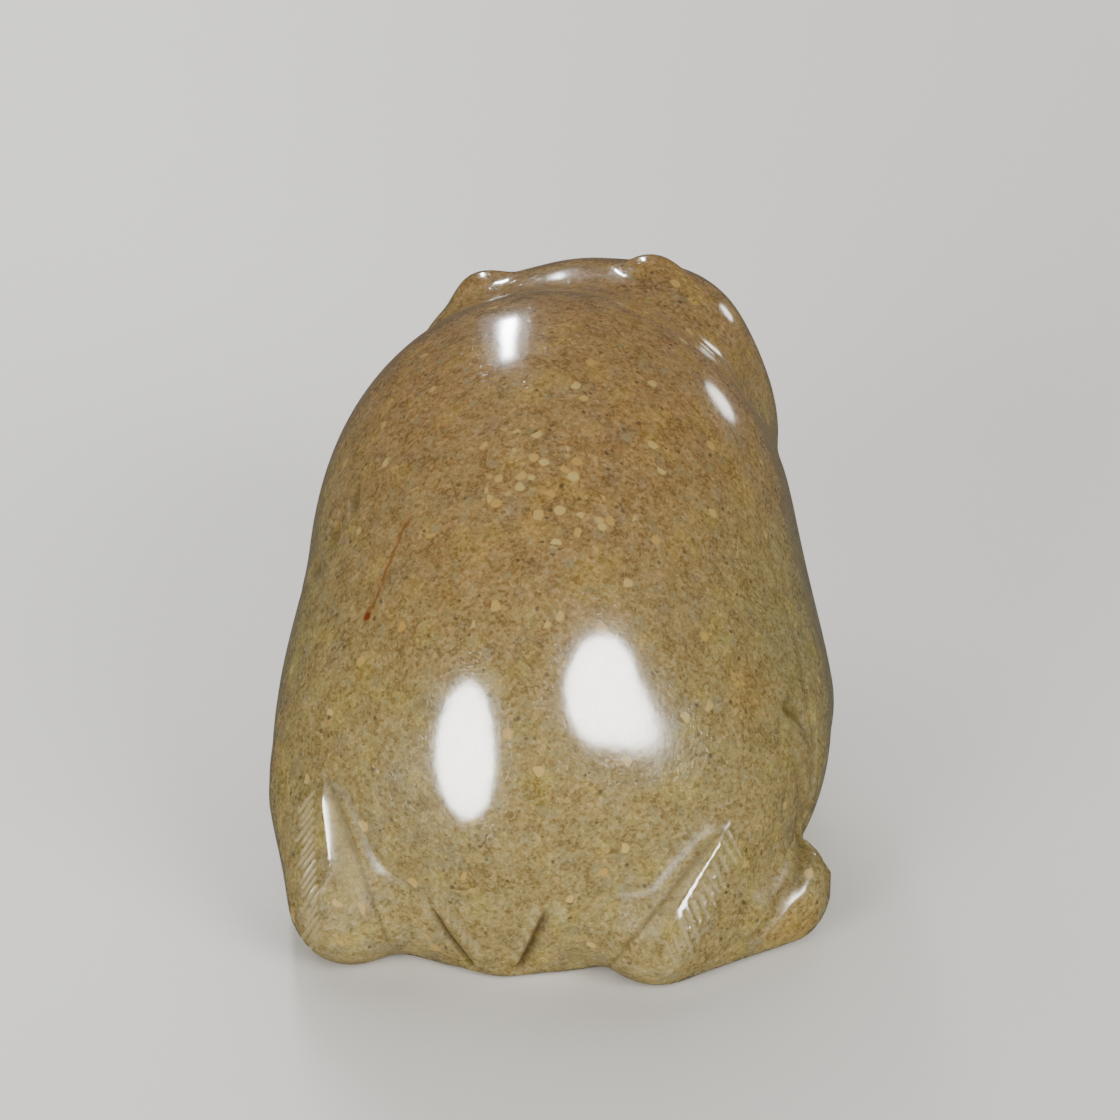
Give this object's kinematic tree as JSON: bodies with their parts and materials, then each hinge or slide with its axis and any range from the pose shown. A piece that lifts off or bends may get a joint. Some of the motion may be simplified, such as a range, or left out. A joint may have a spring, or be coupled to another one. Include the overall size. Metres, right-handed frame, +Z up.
{
  "type": "jade bear carving",
  "caption": "Plump crouching bear carved from one piece of polished, speckled jade-like stone, lying on its belly and feet.",
  "frame": {"origin": "middle of the outline, on the ground under the belly", "axes": "+Z up, the bear faces -Y, its right side on -X"},
  "size_m": [0.0512, 0.0814, 0.0465],
  "materials": {
    "jade": "polished"
  },
  "bodies": {
    "root": {"bear": "jade"}
  },
  "joints": []
}
